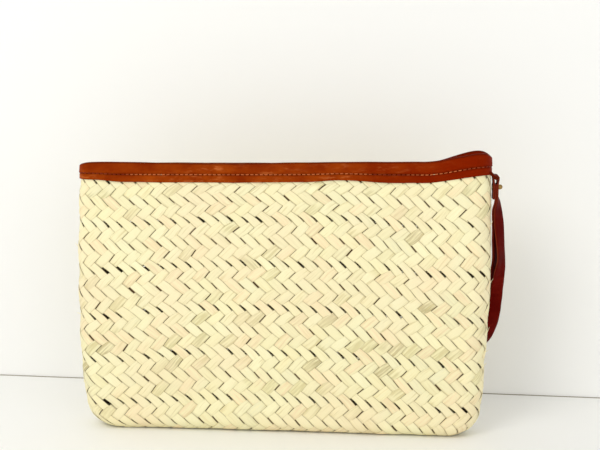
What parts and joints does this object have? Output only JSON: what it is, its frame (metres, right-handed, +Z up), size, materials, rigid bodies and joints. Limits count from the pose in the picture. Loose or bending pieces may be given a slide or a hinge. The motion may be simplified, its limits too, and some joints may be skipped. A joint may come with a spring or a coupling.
{
  "type": "clutch bag",
  "caption": "Flat clutch bag plaited from palm leaf, with a leather-bound mouth, a recessed zip with a sliding puller, and a leather wrist strap that swings at one end.",
  "frame": {"origin": "middle of the base, on the ground, with the bag standing upright", "axes": "+X to the right along the mouth, towards the wrist strap; +Y to the back, through the thickness; +Z up, from the base to the mouth"},
  "size_m": [0.3129, 0.0411, 0.2089],
  "materials": {
    "palm": "matte plaited palm leaf",
    "binding_leather": "smooth waxed",
    "strap_leather": "smooth waxed",
    "thread": "waxed thread",
    "zip_tape": "woven tape",
    "brass": "antique"
  },
  "bodies": {
    "bag": {"braid_1": "palm", "braid_2": "palm", "braid_3": "palm", "braid_4": "palm", "braid_5": "palm", "braid_6": "palm", "rim_braid": "palm", "seam_cord_1": "palm", "seam_cord_2": "palm", "seam_cord_3": "palm", "seam_cord_4": "palm", "seam_cord_5": "palm", "seam_cord_6": "palm", "base_seam_cord": "palm", "mouth_binding": "binding_leather", "binding_thread": "thread", "zip_tape_front": "zip_tape", "zip_tape_back": "zip_tape", "zip_teeth_front": "brass", "zip_teeth_back": "brass", "zip_top_stops": "brass", "zip_bottom_stop": "brass", "strap_anchor": "binding_leather"},
    "slider": {"zip_slider": "brass"},
    "pull": {"zip_pull_tab": "brass"},
    "strap": {"wrist_strap": "strap_leather", "rivet_cap": "brass", "rivet_post": "brass"}
  },
  "joints": [
    {"name": "zip_slide", "type": "slide", "parent": "bag", "child": "slider", "axis": [1, 0, 0], "range_m": [-0.25, 0]},
    {"name": "pull_flip", "type": "hinge", "parent": "slider", "child": "pull", "pos_m": [0.128, 0, 0.1889], "axis": [0, 1, 0], "range_deg": [0, 150]},
    {"name": "strap_swing", "type": "hinge", "parent": "bag", "child": "strap", "pos_m": [0.1524, 0, 0.19], "axis": [0, -1, 0], "range_deg": [0, 150]}
  ]
}
